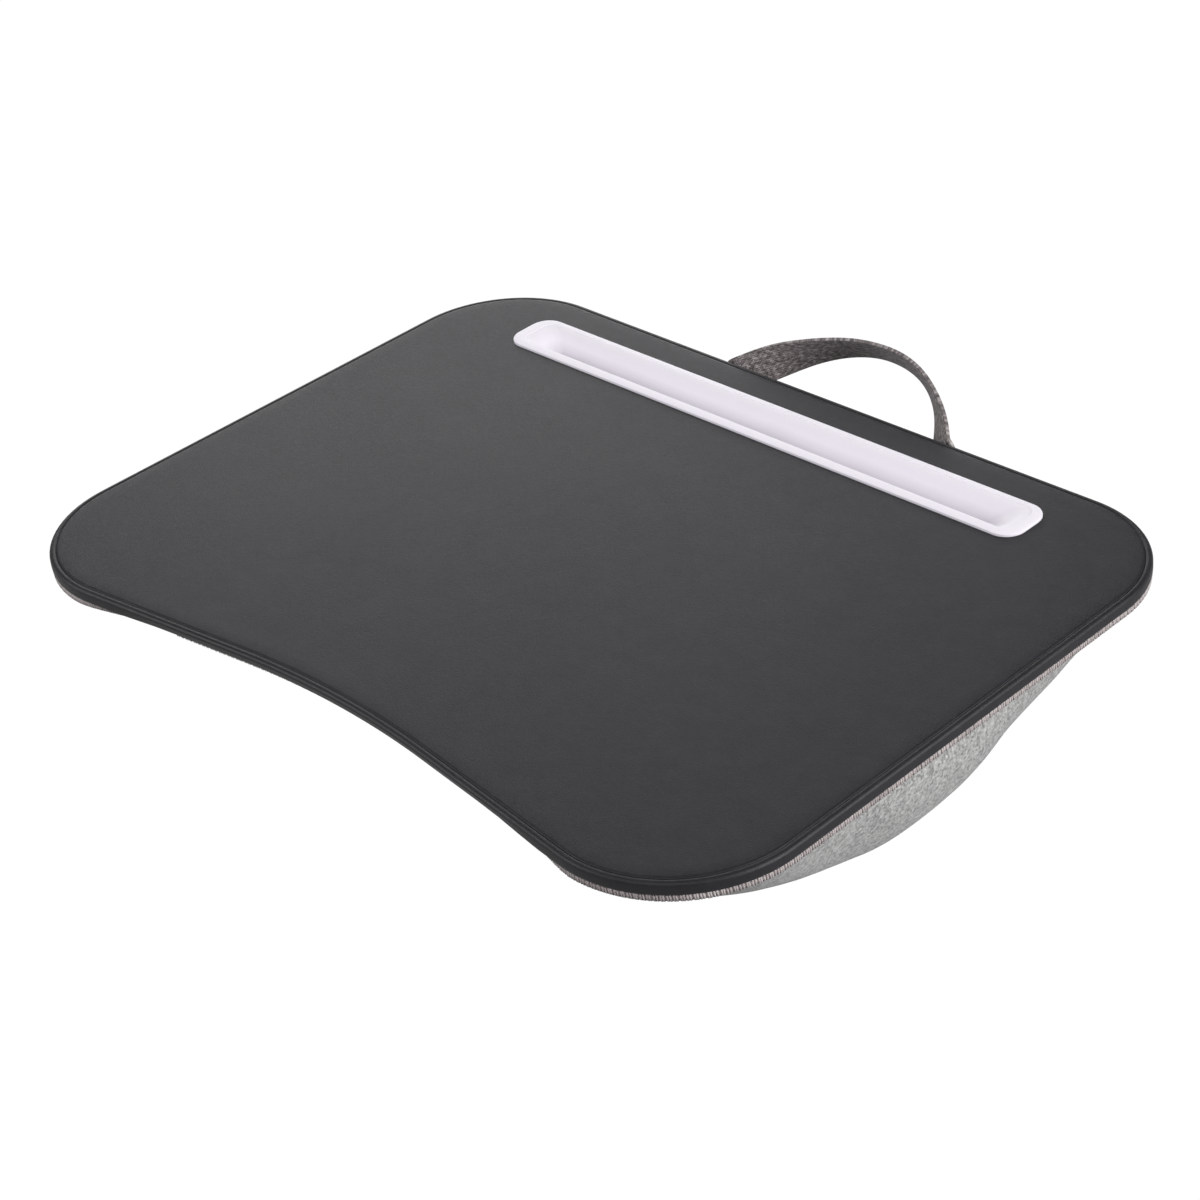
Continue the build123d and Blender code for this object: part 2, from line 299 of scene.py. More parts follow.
def makeFibreboard():
    finish = Finish("fibreboard")
    place = finish.place()
    chips = finish.noise(place, fibreLook["chipScale"], 4, 0.7)
    cloud = finish.noise(place, fibreLook["cloudScale"], 2, 0.5)
    return finish.surface({
        "Base Color": finish.ramp(chips * 0.7 + cloud * 0.3, fibreLook["stops"]),
        "Roughness": fibreLook["roughness"],
        "Normal": finish.bump(chips, fibreLook["chipHeight"], fibreLook["chipStrength"]),
    })


foamLook = {
    "cellScale": 2400, "cellHeight": 0.0002, "cellStrength": 0.7, "roughness": 0.95,
    "stops": ((0.1, 60, (0, 0, 0)), (0.6, 88, (0, 0, 0))),
}


def makeFoam():
    finish = Finish("padFoam")
    cells = finish.cells(finish.place(), foamLook["cellScale"])
    return finish.surface({
        "Base Color": finish.ramp(cells, foamLook["stops"]), "Roughness": foamLook["roughness"],
        "Normal": finish.bump(cells, foamLook["cellHeight"], foamLook["cellStrength"]),
    })


steelLook = {
    "drawnScale": 800, "drawnStretch": (1, 1, 12), "roughness": (0.25, 0.42),
    "stops": ((0.3, 170, (0, 0, 0)), (0.7, 200, (0, 0, 0))),
}


def makeStapleSteel():
    finish = Finish("stapleSteel")
    drawn = finish.noise(finish.place(steelLook["drawnStretch"]), steelLook["drawnScale"], 2, 0.5)
    return finish.surface({
        "Base Color": finish.ramp(drawn, steelLook["stops"]), "Metallic": 1.0,
        "Roughness": finish.step(drawn, *steelLook["roughness"]),
    })


deckLeather, edgeLeather = (makeLeather(part) for part in ("deck", "edge"))
insertPlastic = makeInsertPlastic()
heatherKnit = makeHeather()
hemThread, hemCloth = (makeThread(name) for name in ("hemThread", "hemCloth"))
strapWebbing = makeWebbing()
fibreboard = makeFibreboard()
padFoam = makeFoam()
stapleSteel = makeStapleSteel()
print("materials: made")


# helpers for pieces
nearEnough = {"outline": 0.000002, "node": 0.000005, "level": 0.000005, "loop": 0.00001}  # counts as touching


def smoothFaces(piece):
    for face in piece.data.polygons:
        face.use_smooth = True


def makePiece(bm, name, material, rides=True):
    mesh = bpy.data.meshes.new(name)
    bm.to_mesh(mesh)
    bm.free()
    mesh.materials.append(material)
    piece = bpy.data.objects.new(name, mesh)
    smoothFaces(piece)
    scene.collection.objects.link(piece)
    if rides:
        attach(piece, "tray")
    return piece


def copyNode(node):  # the node's loose triangles, joined into one skin
    bm = bmesh.new()
    bm.from_mesh(nodes[node].data)
    bmesh.ops.remove_doubles(bm, verts=bm.verts, dist=nearEnough["node"])
    return bm


def pick(parts, kind):  # the parts of one kind among an operator's results
    return [part for part in parts if isinstance(part, kind)]


def vertsOf(edges):  # each one once, and in the same order each run
    return list(dict.fromkeys(vert for edge in edges for vert in edge.verts))


def edgesOf(verts):
    return list(dict.fromkeys(edge for vert in verts for edge in vert.link_edges))


def penLine(bm, tip, target, steps):
    stride = (Vector(target) - tip.co) / steps
    for step in range(steps):
        place = tip.co + stride
        tip = bmesh.ops.extrude_vert_indiv(bm, verts=[tip])["verts"][0]
        tip.co = place
    return tip


def penArc(bm, tip, centre, angle, steps):
    spun = bmesh.ops.spin(bm, geom=[tip], cent=centre, axis=(0, 0, 1), angle=angle, steps=steps)
    return pick(spun["geom_last"], bmesh.types.BMVert)[0]


# plan of the deck in metres, as the board is cut
deck = {
    "width": 0.430, "length": 0.3215, "backCorner": 0.056, "frontCorner": 0.0594,
    "flare": 7.2, "run": 0.092,  # the front's slant in degrees, and its straight run beside the corner
    "cornerSteps": 24, "hollowSteps": 10, "straightSteps": 14,
}


def addOutline(bm, inset, height):  # one closed loop round the deck; height is over the deck's top
    before = set(bm.edges)
    flare = radians(deck["flare"])
    side, back = deck["width"] / 2 - inset, deck["length"] / 2 - inset
    backX, backY = deck["width"] / 2 - deck["backCorner"], deck["length"] / 2 - deck["backCorner"]
    frontX, frontY = deck["width"] / 2 - deck["frontCorner"], deck["frontCorner"] - deck["length"] / 2
    outerX = frontX - deck["frontCorner"] * sin(flare) - deck["run"] * cos(flare)
    outerY = frontY - deck["frontCorner"] * cos(flare) + deck["run"] * sin(flare)
    hollow = outerX / sin(flare)
    runEnd = (outerX + inset * sin(flare), outerY + inset * cos(flare), 0)
    tip = bm.verts.new((0, back, 0))
    tip = penLine(bm, tip, (backX, back, 0), deck["straightSteps"])
    tip = penArc(bm, tip, (backX, backY, 0), -pi / 2, deck["cornerSteps"])
    tip = penLine(bm, tip, (side, frontY, 0), deck["straightSteps"])
    tip = penArc(bm, tip, (frontX, frontY, 0), -pi / 2 - flare, deck["cornerSteps"])
    tip = penLine(bm, tip, runEnd, deck["straightSteps"] // 2)
    penArc(bm, tip, (0, outerY - hollow * cos(flare), 0), flare, deck["hollowSteps"])
    half = [edge for edge in bm.edges if edge not in before]
    ends = vertsOf(half)
    for vert in ends:
        vert.co += deckMiddle + Vector((0, 0, height))
    bmesh.ops.mirror(bm, geom=ends + half, axis="X", merge_dist=nearEnough["outline"])
    return [edge for edge in bm.edges if edge not in before]


def bridgeRings(bm, profile, closed=False, draw=addOutline):  # a skin through one loop for each row
    steps = list(zip(profile, profile[1:]))
    if closed:
        steps.append((profile[-1], profile[0]))
    for first, second in steps:
        band = bmesh.new()
        bmesh.ops.bridge_loops(band, edges=draw(band, *first) + draw(band, *second))
        bandMesh = bpy.data.meshes.new("band")
        band.to_mesh(bandMesh)
        band.free()
        bm.from_mesh(bandMesh)
        bpy.data.meshes.remove(bandMesh)
    bmesh.ops.remove_doubles(bm, verts=bm.verts, dist=nearEnough["outline"])
    bmesh.ops.recalc_face_normals(bm, faces=bm.faces)


def openRim(bm, height):  # the open edges at one height over the deck's top
    level = deckMiddle.z + height
    return [
        edge for edge in bm.edges
        if edge.is_boundary and all(abs(vert.co.z - level) < nearEnough["level"] for vert in edge.verts)
    ]


def walkOutline(inset, height, spacing):  # evenly spaced places round the deck, with the way along
    bm = bmesh.new()
    addOutline(bm, inset, height)
    bm.verts.ensure_lookup_table()
    first = bm.verts[0]
    path, edge = [first], first.link_edges[0]
    while True:
        vert = edge.other_vert(path[-1])
        if vert == first:
            break
        path.append(vert)
        edge = [other for other in vert.link_edges if other != edge][0]
    points = [vert.co.copy() for vert in path]
    bm.free()
    points.append(points[0])
    total = sum((b - a).length for a, b in zip(points, points[1:]))
    count = round(total / spacing)
    places, travelled, wanted = [], 0, 0
    for a, b in zip(points, points[1:]):
        length = (b - a).length
        while wanted < travelled + length and len(places) < count:
            along = (b - a).normalized()
            places.append((a + along * (wanted - travelled), along))
            wanted += total / count
        travelled += length
    return places


def addRounded(bm, middle, length, width, corner, steps, sideSteps=8):  # a rectangle with round corners
    before = set(bm.edges)
    arm = Vector((0, corner, 0))
    middles = [
        middle + Vector((right * (length / 2 - corner), back * (width / 2 - corner), 0))
        for right, back in ((1, 1), (1, -1), (-1, -1), (-1, 1))
    ]
    tip = bm.verts.new(middles[0] + arm)
    for turn in range(4):
        tip = penArc(bm, tip, middles[turn], -pi / 2, steps)
        arm = Vector((arm.y, -arm.x, 0))
        tip = penLine(bm, tip, middles[(turn + 1) % 4] + arm, sideSteps)
    loop = vertsOf(edge for edge in bm.edges if edge not in before)
    bmesh.ops.remove_doubles(bm, verts=loop, dist=nearEnough["loop"])
    return [edge for edge in bm.edges if edge not in before]


# the deck: leatherette sheet, slot insert and edge binding
sheet = {
    "edge": 0.0032, "drop": 0.0010, "flatFrom": 0.0071, "thickness": 0.0008, "sharp": 30,
    "roll": (  # the edge rolls over the pad: in from the edge, and height over the deck's top
        (0.0, -0.00078), (0.00006, -0.00054), (0.0002, -0.00034),
        (0.0005, -0.00017), (0.0009, -0.00006), (0.0015, 0.0),
    ),
    "holeLength": 0.3142, "holeWidth": 0.0296, "holeCorner": 0.010, "holeSteps": 8,
    "holePlace": (-0.007, 0.12555, 0.0),
}


def makeDeckSheet():
    bm = bmesh.new()
    edge = sheet["edge"]
    profile = [(edge, -sheet["drop"])]
    profile += [(edge + inward, height) for inward, height in sheet["roll"]]
    profile.append((edge + sheet["flatFrom"], 0.0))
    bridgeRings(bm, profile)
    rim = openRim(bm, 0)
    middle = deckMiddle + Vector(sheet["holePlace"])
    length, width, corner = sheet["holeLength"], sheet["holeWidth"], sheet["holeCorner"]
    hole = addRounded(bm, middle, length, width, corner, sheet["holeSteps"])
    bmesh.ops.triangle_fill(bm, edges=rim + hole, use_beauty=True)
    made = bmesh.ops.extrude_edge_only(bm, edges=hole)["geom"]  # the cut edge beside the insert's flange
    bmesh.ops.translate(bm, verts=pick(made, bmesh.types.BMVert), vec=(0, 0, -sheet["thickness"]))
    bmesh.ops.recalc_face_normals(bm, faces=bm.faces)
    piece = makePiece(bm, "deckSheet", deckLeather)
    piece.data.set_sharp_from_angle(angle=radians(sheet["sharp"]))
    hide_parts("deck_cover")
    return piece


# under the hollow front edge the wall leans in, and the panel, the hem and the cover lie further back
frontEdge = {
    "draw": 0.0052, "drawFullTo": 0.11, "drawNoneFrom": 0.158,  # places to each side of the middle
    "lean": 0.0016, "leanFullTo": 0.10, "leanNoneFrom": 0.138, "leanTop": -0.0018, "leanFoot": -0.0060,
    "fromY": -0.105, "fullY": -0.135,
}


def smoothShare(value, none, full):
    share = min(max((value - none) / (full - none), 0), 1)
    return share * share * (3 - 2 * share)


def drawFrontIn(verts):  # everything here is below the board
    for vert in verts:
        along = smoothShare(abs(vert.co.x), frontEdge["drawNoneFrom"], frontEdge["drawFullTo"])
        across = smoothShare(vert.co.y - deckMiddle.y, frontEdge["fromY"], frontEdge["fullY"])
        vert.co.y += frontEdge["draw"] * along * across


def leanFrontIn(verts):  # from none at the wall's top to the full lean at its foot
    top, foot = frontEdge["leanTop"], frontEdge["leanFoot"]
    for vert in verts:
        along = smoothShare(abs(vert.co.x), frontEdge["leanNoneFrom"], frontEdge["leanFullTo"])
        across = smoothShare(vert.co.y - deckMiddle.y, frontEdge["fromY"], frontEdge["fullY"])
        sunk = min(max((vert.co.z - deckMiddle.z - top) / (foot - top), 0), 1)
        vert.co.y += frontEdge["lean"] * along * across * sunk


# the strip folds over the edge: heights are over the deck's top, insets from the outer edge
binding = {
    "lipRound": 0.0019, "lipWidth": 0.0032, "lipTop": -0.0003, "lipUnder": 0.0009, "tuckUnder": 0.0007,
    "lipFold": (  # the lip's inner edge, from its width and its top
        (0.0003, -0.00048), (0.0, -0.00045), (-0.00015, -0.00033), (-0.0004, -0.00014), (-0.0007, -0.00003),
    ),
    "foot": -0.0060, "footBend": ((0.0, 0.0011), (0.00012, 0.0004), (0.0005, 0.00005), (0.0012, 0.0)),
    "reach": 0.0070, "thickness": 0.0010, "steps": 7, "sharp": 50,
}


def makeEdgeBinding():
    bm = bmesh.new()
    lip, thick, foot = binding["lipRound"], binding["thickness"], binding["foot"]
    width, top = binding["lipWidth"], binding["lipTop"]
    profile = [(width + inward, top + rise) for inward, rise in binding["lipFold"]]
    for step in range(binding["steps"] + 1):
        angle = pi / 2 * (1 - step / binding["steps"])
        profile.append((lip * (1 - cos(angle)), top - lip * (1 - sin(angle))))
    profile.append((0.0, foot / 2))
    profile += [(inward, foot + rise) for inward, rise in binding["footBend"]]
    profile += [
        (binding["reach"], foot), (binding["reach"], foot + thick), (thick, foot + thick), (thick, top - lip),
        (lip, top - binding["lipUnder"]), (width + binding["lipFold"][0][0], top - binding["tuckUnder"]),
    ]
    bridgeRings(bm, profile, closed=True)
    leanFrontIn(bm.verts)
    piece = makePiece(bm, "edgeBinding", edgeLeather)
    piece.data.set_sharp_from_angle(angle=radians(binding["sharp"]))
    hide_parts("edge_binding")
    return piece


# the white trough: lengths from the slot's edge, heights over the deck's top
insert = {
    "place": (-0.007, 0.1265), "length": 0.3016, "width": 0.0203, "corner": 0.005, "cornerSteps": 7,
    "top": 0.0010, "depth": 0.0082, "ends": 0.021, "front": 0.0028, "back": 0.0140,
    "cornerShare": 0.42, "wall": 0.0014, "steps": 14, "round": 0.0003, "sheetGap": 0.0003, "sharp": 35,
    "flangeEnds": 0.0060, "flangeFront": 0.0053, "flangeBack": 0.0034,
    "flangeCorner": 0.0097, "flangeRound": 0.0005,
    "tabLength": 0.008, "tabHeight": 0.0014, "tabTop": -0.0062, "tabOut": 0.01305, "tabBreak": 0.0002,
    "tabFrontIn": 0.0086, "tabBackIn": 0.0035,
    "tabPitch": 0.075, "tabPlaces": (-1.5, -0.5, 0.5, 1.5),  # places are counted in pitches from the middle
}


def addSlotLoop(bm, ends, front, back, corner, height):  # the slot's outline drawn in by these amounts
    middle = Vector((insert["place"][0], insert["place"][1] + (front - back) / 2, height))
    length, width = insert["length"] - 2 * ends, insert["width"] - front - back
    return addRounded(bm, deckMiddle + middle, length, width, corner, insert["cornerSteps"])


def slotCove(grow, top, depth):  # rows down to the foot: steep at the front, gentle at the back and ends
    rows = []
    for step in range(insert["steps"] + 1):
        sunk = (1 - cos(pi * step / insert["steps"])) / 2
        steep = 1 - (1 - sunk * sunk) ** 0.5
        gentle = 0.5 - sin(asin(1 - 2 * sunk) / 3)
        ends, front, back = insert["ends"] * gentle, insert["front"] * steep, insert["back"] * gentle
        roundest = (insert["width"] - front - back) * insert["cornerShare"]
        corner = insert["corner"] + (roundest - insert["corner"]) * min(sunk * 4, 1)
        rows.append((ends - grow, front - grow, back - grow, corner + grow, top - depth * sunk))
    return rows


def flangeRow(grow, height):  # the flange's outline, drawn out by an amount
    sides = (insert["flangeEnds"], insert["flangeFront"], insert["flangeBack"])
    return (*(-side - grow for side in sides), insert["flangeCorner"] + grow, height)


def addTab(bm, x, side):  # one snap tab under the board
    inner = insert["tabBackIn"] if side > 0 else insert["tabFrontIn"]
    width, height = insert["tabOut"] - inner, insert["tabHeight"]
    y, z = insert["place"][1] + side * (inner + width / 2), insert["tabTop"] - height / 2
    made = bmesh.ops.create_cube(bm, size=1.0)["verts"]
    bmesh.ops.scale(bm, verts=made, vec=(insert["tabLength"], width, height))
    bmesh.ops.translate(bm, verts=made, vec=deckMiddle + Vector((x, y, z)))
    bmesh.ops.bevel(
        bm, geom=edgesOf(made), offset=insert["tabBreak"], segments=1, profile=0.5, affect="EDGES",
        material=-1,
    )


def makeSlotInsert():
    bm = bmesh.new()
    soft, edge, top = insert["round"], insert["flangeRound"], insert["top"]
    corner, wall, depth = insert["corner"], insert["wall"], insert["depth"]
    under = -sheet["thickness"]
    outside = slotCove(wall, top, depth + wall)
    profile = [row for row in reversed(outside) if row[-1] < under - insert["sheetGap"]]
    profile.append((*outside[0][:-1], under))
    profile += [flangeRow(0, under), flangeRow(0, top - edge)]
    profile += [flangeRow(-edge * 0.3, top - edge * 0.3), flangeRow(-edge, top)]
    profile.append((-soft * 2, -soft * 2, -soft * 2, corner + soft * 2, top))
    profile.append((-soft * 0.6, -soft * 0.6, -soft * 0.6, corner + soft * 0.6, top - soft * 0.2))
    profile += slotCove(0, top - soft, depth - soft)
    bridgeRings(bm, profile, draw=addSlotLoop)
    for height in (top - depth, top - depth - wall):
        bmesh.ops.edgeloop_fill(bm, edges=openRim(bm, height))
    bmesh.ops.recalc_face_normals(bm, faces=bm.faces)
    for place in insert["tabPlaces"]:
        for side in (-1, 1):
            addTab(bm, insert["place"][0] + place * insert["tabPitch"], side)
    piece = makePiece(bm, "slotInsert", insertPlastic)
    piece.data.set_sharp_from_angle(angle=radians(insert["sharp"]))
    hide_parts("slot_insert")
    return piece


deckSheet = makeDeckSheet()
edgeBinding = makeEdgeBinding()
slotInsert = makeSlotInsert()
print("deck: sheet", len(deckSheet.data.polygons), "binding", len(edgeBinding.data.polygons))


# the pad and the staples are hidden and keep their solids
for node, material in (("top_pad", padFoam), ("strap_staples", stapleSteel)):
    nodes[node].data.materials.clear()
    nodes[node].data.materials.append(material)

board = {"sharp": 30}


def makeBoard(node, name, shape):  # the board or the panel under it
    bm = copyNode(node)
    shape(bm.verts)
    piece = makePiece(bm, name, fibreboard)
    piece.data.set_sharp_from_angle(angle=radians(board["sharp"]))
    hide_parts(node)
    return piece


deckBoard = makeBoard("deck_board", "deckBoard", leanFrontIn)
basePanel = makeBoard("base_panel", "basePanel", drawFrontIn)


# overlocked hem of the cushion cover: heights are over the deck's top, insets from the deck's outer edge
hem = {
    "top": -0.0061, "foot": -0.0093, "inset": 0.0008, "depth": 0.0018, "bulge": 0.0001,
    "footRound": ((0.0002, 0.0003), (0.0006, 0.0)),  # inset, and height over the foot
    "pitch": 0.00125, "threadRadius": 0.00055, "threadSides": 6, "slant": 0.00045, "stand": 0.00012,
    "tuckTop": 0.0004, "tuckTurn": 60, "tuckFoot": 0.0007, "under": 0.0001,
    "bendTop": 0.0005, "bendFoot": 0.0006, "bendUnder": 0.00005,
    "uneven": 0.22, "unevenTall": 0.3, "outwardFrom": 0.1,
}


def makeHemStitch():  # one thread over the hem's edge: along Y, outwards is +X, and up is +Z
    bm = bmesh.new()
    radius, stand = hem["threadRadius"], hem["stand"]
    top, foot = hem["top"] + radius, hem["foot"] - hem["under"]
    start = (-hem["tuckTop"], 0, top)
    tuck = Matrix.Rotation(radians(hem["tuckTurn"]), 3, "Y")
    ring = bmesh.ops.create_circle(bm, segments=hem["threadSides"], radius=radius)["verts"]
    bmesh.ops.translate(bm, verts=ring, vec=start)
    bmesh.ops.rotate(bm, verts=ring, cent=start, matrix=tuck)
    edges = edgesOf(ring)
    route = [  # how far out, the share of the slant, the height, and the lean in degrees
        (stand, 0.12, top - hem["bendTop"], 0), (stand, 0.5, (top + foot) / 2, 0),
        (stand, 0.85, foot + hem["bendFoot"], -25), (-hem["tuckFoot"], 1.0, foot + hem["bendUnder"], -80),
    ]
    for out, slant, height, lean in route:
        made = bmesh.ops.extrude_edge_only(bm, edges=edges)["geom"]
        verts, edges = pick(made, bmesh.types.BMVert), pick(made, bmesh.types.BMEdge)
        middle = sum((vert.co for vert in verts), Vector()) / len(verts)
        normal = (verts[1].co - verts[0].co).cross(verts[2].co - verts[0].co).normalized()
        wanted = Vector((sin(radians(lean)), 0, cos(radians(lean))))
        if normal.dot(wanted) < 0:
            normal.negate()
        turn = normal.rotation_difference(wanted).to_matrix()
        bmesh.ops.rotate(bm, verts=verts, cent=middle, matrix=turn)
        bmesh.ops.translate(bm, verts=verts, vec=Vector((out, slant * hem["slant"], height)) - middle)
    bmesh.ops.recalc_face_normals(bm, faces=bm.faces)
    for face in bm.faces:
        face.material_index = 1  # the thread's material on the hem
    mesh = bpy.data.meshes.new("hemStitch")
    bm.to_mesh(mesh)
    bm.free()
    return mesh


def makeHem():
    bm = bmesh.new()
    inset, depth, top, foot = hem["inset"], hem["depth"], hem["top"], hem["foot"]
    profile = [(inset, top), (inset - hem["bulge"], (top + foot) / 2)]
    profile += [(inset + inward, foot + rise) for inward, rise in hem["footRound"]]
    profile += [(inset + depth, foot), (inset + depth, top)]
    bridgeRings(bm, profile, closed=True)
    stitch = makeHemStitch()
    up = Vector((0, 0, 1))
    atFoot = Matrix.Translation((0, 0, foot))
    for index, (place, along) in enumerate(walkOutline(inset, 0, hem["pitch"])):
        uneven = sin(index * 2.4) * sin(index * 0.77 + 1)  # hand-guided stitches are never quite alike
        place = place + along * (hem["pitch"] * hem["uneven"] * uneven)
        out = Vector((along.y, -along.x, 0))
        if out.dot(place - deckMiddle) < 0 and abs(place.x) > hem["outwardFrom"]:
            out.negate()  # nearer the middle the stitches lie on the hem's inner side
        turn = Matrix((out, up.cross(out), up)).transposed().to_4x4()
        tall = Matrix.Scale(1 + hem["uneven"] * hem["unevenTall"] * sin(index * 1.7 + 2), 4, up)
        copy = stitch.copy()
        copy.transform(Matrix.Translation(place) @ turn @ atFoot @ tall @ atFoot.inverted())
        bm.from_mesh(copy)
        bpy.data.meshes.remove(copy)
    bpy.data.meshes.remove(stitch)
    drawFrontIn(bm.verts)
    piece = makePiece(bm, "cushionHem", hemCloth)
    piece.data.materials.append(hemThread)
    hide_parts("cushion_hem")
    return piece


cushionHem = makeHem()
print("hem: faces", len(cushionHem.data.polygons))


# cushion cover: two filled bolsters with a valley between them
cushion = {
    "top": -0.0093, "pinned": -0.0125, "seam": 0.0006, "footLevel": 0.0, "grow": 0.0010, "cap": 0.0042,
    "coverInset": 0.0028, "slabUnder": 0.0012, "slabTop": 0.007, "fillingTop": 0.004,
    "voxel": 0.0045, "smoothTurns": 3, "smooth": 0.5, "sharp": 60,
    "belly": 0.0044, "bellyY": -0.010, "bellyReach": 0.038, "bellyX": 0.14,
    "frames": 20, "cloth": {
        "quality": 6, "mass": 0.25, "tension_stiffness": 20, "compression_stiffness": 12,
        "bending_stiffness": 0.4, "use_pressure": True, "uniform_pressure_force": 4.0,
    },
}


def makeCushionStart():  # the fillings under a slab that stands for the cloth stretched over the panel
    bm = copyNode("filling_left")
    bm.from_mesh(nodes["filling_right"].data)
    bmesh.ops.remove_doubles(bm, verts=bm.verts, dist=nearEnough["node"])
    panelFoot = deckMiddle.z + cushion["top"]
    for vert in bm.verts:
        if vert.co.z > panelFoot - cushion["seam"]:
            vert.co.z = panelFoot + cushion["fillingTop"]
    slabBm = bmesh.new()
    inset = cushion["coverInset"]
    low, high = cushion["top"] - cushion["slabUnder"], cushion["top"] + cushion["slabTop"]
    bridgeRings(slabBm, [(inset, low), (inset, high)])
    for height in (low, high):
        bmesh.ops.edgeloop_fill(slabBm, edges=openRim(slabBm, height))
    bmesh.ops.recalc_face_normals(slabBm, faces=slabBm.faces)
    slabMesh = bpy.data.meshes.new("slab")
    slabBm.to_mesh(slabMesh)
    slabBm.free()
    bm.from_mesh(slabMesh)
    bpy.data.meshes.remove(slabMesh)
    return makePiece(bm, "cushionCover", heatherKnit, rides=False)


def applyModifiers(piece):
    graph = bpy.context.evaluated_depsgraph_get()
    final = bpy.data.meshes.new_from_object(piece.evaluated_get(graph))
    old = piece.data
    piece.modifiers.clear()
    piece.data = final
    bpy.data.meshes.remove(old)


def inflateCushion(piece):  # a short cloth run under pressure, sewn fast at its top
    rest = [vert.co.copy() for vert in piece.data.vertices]
    pins = piece.vertex_groups.new(name="sewn")
    level = deckMiddle.z + cushion["pinned"]
    pins.add([index for index, co in enumerate(rest) if co.z > level], 1.0, "REPLACE")
    cloth = piece.modifiers.new("fill", "CLOTH")
    for key, value in cushion["cloth"].items():
        setattr(cloth.settings, key, value)
    cloth.settings.effector_weights.gravity = 0
    cloth.settings.vertex_group_mass = pins.name
    cloth.collision_settings.use_collision = False
    scene.frame_start, scene.frame_end = 1, cushion["frames"]
    for frameNumber in range(1, cushion["frames"] + 1):
        scene.frame_set(frameNumber)
    applyModifiers(piece)
    scene.frame_set(1)
    for vert, start in zip(piece.data.vertices, rest):
        move = vert.co - start
        if move.length > cushion["cap"]:
            move = move.normalized() * cushion["cap"]
        vert.co = start + move
    piece.vertex_groups.clear()


def fillBelly(verts):  # the outer sides stand fullest at their middle
    height = deckMiddle.z + cushion["top"]
    for vert in verts:
        if abs(vert.co.x) > cushion["bellyX"] and vert.co.z < height:
            reach = (vert.co.y - deckMiddle.y - cushion["bellyY"]) / cushion["bellyReach"]
            outwards = max(vert.normal.x * copysign(1, vert.co.x), 0)
            around = sin(pi * min(max(vert.co.z / height, 0), 1)) * outwards
            vert.co += vert.normal * cushion["belly"] * exp(-reach ** 4) * around ** 0.5


def standOnLap(verts):  # nothing lies under the lap's plane
    for vert in verts:
        vert.co.z = max(vert.co.z, cushion["footLevel"])


def shapeCushion(piece):  # evened out, grown a little and filled at its sides
    bm = bmesh.new()
    bm.from_mesh(piece.data)
    for turn in range(cushion["smoothTurns"]):
        bmesh.ops.smooth_vert(
            bm, verts=bm.verts, factor=cushion["smooth"], use_axis_x=True, use_axis_y=True, use_axis_z=True,
        )
    bm.normal_update()
    for vert in bm.verts:
        if vert.co.z < deckMiddle.z + cushion["top"] - cushion["seam"]:
            vert.co += vert.normal * cushion["grow"]
    fillBelly(bm.verts)
    drawFrontIn(bm.verts)
    standOnLap(bm.verts)
    bm.to_mesh(piece.data)
    bm.free()


def closeTop(piece):  # cut off level at the panel's foot
    bm = bmesh.new()
    bm.from_mesh(piece.data)
    level = deckMiddle + Vector((0, 0, cushion["top"]))
    everything = bm.verts[:] + bm.edges[:] + bm.faces[:]
    cut = bmesh.ops.bisect_plane(bm, geom=everything, plane_co=level, plane_no=(0, 0, 1), clear_outer=True)
    bmesh.ops.edgeloop_fill(bm, edges=pick(cut["geom_cut"], bmesh.types.BMEdge))
    bmesh.ops.recalc_face_normals(bm, faces=bm.faces)
    standOnLap(bm.verts)
    bm.to_mesh(piece.data)
    bm.free()


def makeCushion():
    piece = makeCushionStart()
    even = piece.modifiers.new("even", "REMESH")
    even.mode, even.voxel_size = "VOXEL", cushion["voxel"]
    applyModifiers(piece)
    inflateCushion(piece)
    shapeCushion(piece)
    finer = piece.modifiers.new("finer", "SUBSURF")
    finer.levels = finer.render_levels = 1
    applyModifiers(piece)
    closeTop(piece)
    smoothFaces(piece)
    piece.data.set_sharp_from_angle(angle=radians(cushion["sharp"]))
    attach(piece, "tray")
    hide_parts("cushion_cover", "filling_left", "filling_right")
    return piece


cushionCover = makeCushion()
print("cushion: faces", len(cushionCover.data.polygons), [round(c, 4) for c in cushionCover.dimensions])


# webbing strap: one band that lies flat under the board at its two ends
strap = {
    "width": 0.0175, "thickness": 0.0016, "edgeRound": 0.00045, "edgeAngle": 50, "endLength": 0.019,
    "middleX": 0.00883, "rootY": 0.16225, "level": -0.0068, "out": 0.03929, "tilt": 21.7,
    "leftSpan": 0.06177, "rightSpan": 0.06136, "leftFullness": 2.05, "rightFullness": 2.19,
    "twists": (46.2, 92.3, 107.0, 101.3, 82.5, 51.4),  # degrees at evenly spread shares from left to right
    "letGoFrom": -0.0005, "letGoTo": 0.0030,  # beyond the root, where the twist falls to none
    "samples": 400, "stepsAlong": 220, "stepsAcross": 10,
}


def strapTwist(share):  # a smooth curve through the twists
    knots = strap["twists"]
    place = (share + 1) / 2 * (len(knots) - 1)
    index = min(int(place), len(knots) - 2)
    t = place - index
    a, b, c, d = (knots[min(max(index + k, 0), len(knots) - 1)] for k in (-1, 0, 1, 2))
    slope, curve, turn = c - a, 2 * a - 5 * b + 4 * c - d, 3 * b - a - 3 * c + d
    return radians(0.5 * (2 * b + slope * t + curve * t * t + turn * t ** 3))


